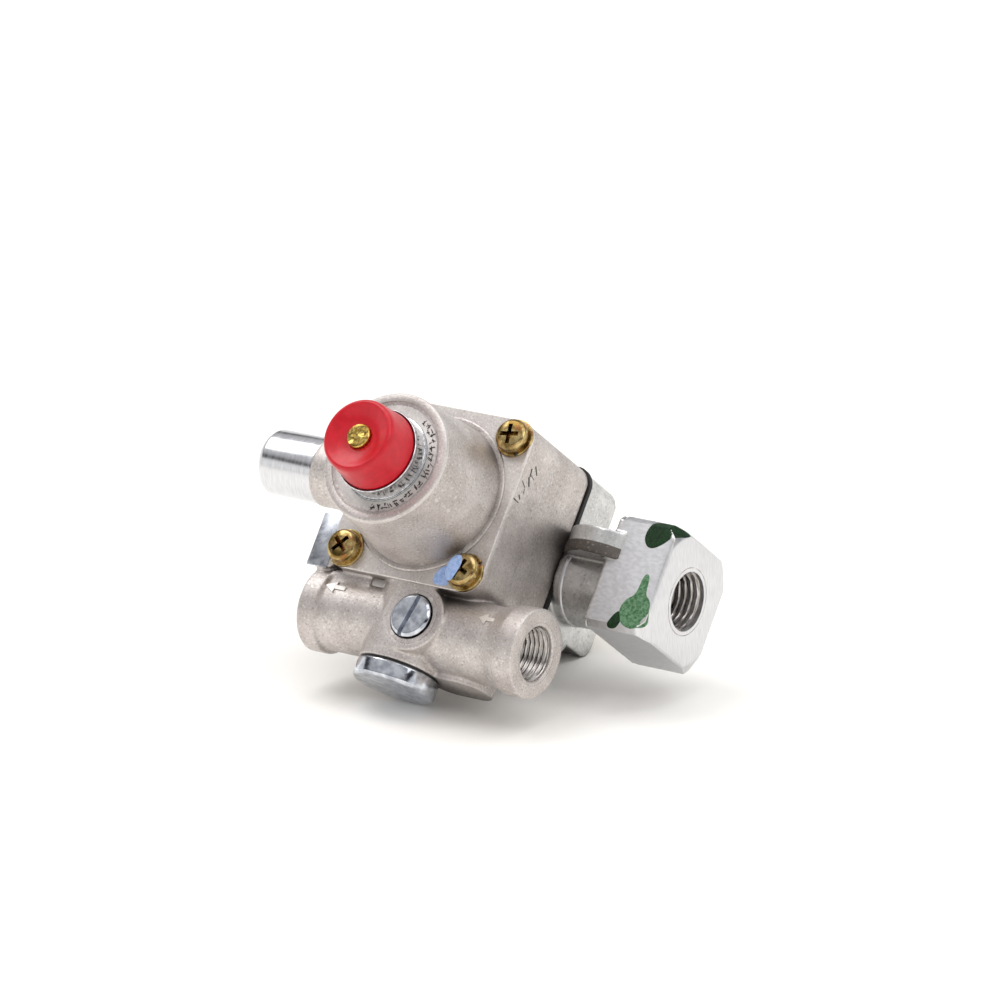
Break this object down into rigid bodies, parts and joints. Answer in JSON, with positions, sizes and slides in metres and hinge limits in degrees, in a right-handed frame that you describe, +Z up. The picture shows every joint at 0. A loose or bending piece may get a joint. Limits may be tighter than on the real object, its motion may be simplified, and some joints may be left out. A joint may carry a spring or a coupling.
{
  "type": "manual-reset gas safety valve",
  "caption": "Cast gas safety valve with a push-to-reset button, a flanged rear body with a square threaded inlet, a side outlet nipple and a pilot manifold with an adjusting screw.",
  "frame": {"origin": "bottom centre of the valve's box, on the surface it lies on", "axes": "+X out of the square gas inlet, +Y away from the reset button, +Z up; the button's axis leans back, pushed towards +Y and down"},
  "size_m": [0.091, 0.0794, 0.0643],
  "materials": {
    "front_casting": "cast, shot blasted",
    "rear_casting": "cast and machined bright",
    "plated_steel": "turned, zinc plated",
    "yellow_zinc": "yellow passivated",
    "chrome_plug": "polished",
    "nickel_screw": "nickel plated, turned",
    "red_button": "glossy red",
    "turned_brass": "turned",
    "copper": "bare copper",
    "spring_steel": "drawn wire",
    "soft_iron": "nickelled soft iron",
    "black_gasket": "black fibre and rubber",
    "nitrile": "moulded",
    "insulator": "moulded phenolic",
    "gauze": "woven wire"
  },
  "bodies": {
    "housing": {"front_body": "front_casting", "outlet_spigot": "plated_steel", "body_gasket": "black_gasket", "flange_screws": "yellow_zinc", "lock_washers": "yellow_zinc", "rear_body": "rear_casting", "seat_ring": "turned_brass", "knob_collar": "plated_steel", "stem_bushing": "turned_brass", "stem_oring": "nitrile", "return_spring": "spring_steel", "closing_spring": "spring_steel", "magnet_housing": "turned_brass", "housing_seal": "nitrile", "magnet_yoke": "soft_iron", "magnet_coil": "copper", "contact_insulator": "insulator", "contact_pin": "turned_brass", "pilot_plug": "chrome_plug", "plug_seal": "black_gasket", "filter_screen": "gauze"},
    "reset": {"reset_knob": "red_button", "reset_stem": "turned_brass", "stem_clip": "spring_steel", "spring_washer": "plated_steel", "interrupter_disc": "turned_brass", "interrupter_rubber": "nitrile"},
    "valve": {"valve_rubber": "nitrile", "valve_disc": "turned_brass", "valve_spindle": "turned_brass", "armature": "soft_iron"},
    "adjuster_travel": {"adjuster_oring": "nitrile"},
    "adjuster": {"adjusting_screw": "nickel_screw"}
  },
  "joints": [
    {"name": "reset_push", "type": "slide", "parent": "housing", "child": "reset", "axis": [0, 0.808, -0.5892], "range_m": [0, 0.004], "stiffness_N_per_m": 600, "springref_m": -0.01, "deforming": ["return_spring"]},
    {"name": "valve_lift", "type": "slide", "parent": "housing", "child": "valve", "axis": [0, 0.808, -0.5892], "range_m": [0, 0.004], "stiffness_N_per_m": 150, "springref_m": -0.006, "deforming": ["closing_spring"]},
    {"name": "adjuster_travel", "type": "slide", "parent": "housing", "child": "adjuster_travel", "axis": [0, -0.808, 0.5892], "range_m": [0, 0.0014]},
    {"name": "adjuster_turn", "type": "hinge", "parent": "adjuster_travel", "child": "adjuster", "pos_m": [0.00615, -0.02563, 0.02017], "axis": [0, -0.808, 0.5892], "range_deg": [0, 720]}
  ],
  "couplings": [
    {"joint": "valve_lift", "follows": "reset_push", "ratio": 1},
    {"joint": "adjuster_turn", "follows": "adjuster_travel", "rad_per_m": 8976}
  ]
}
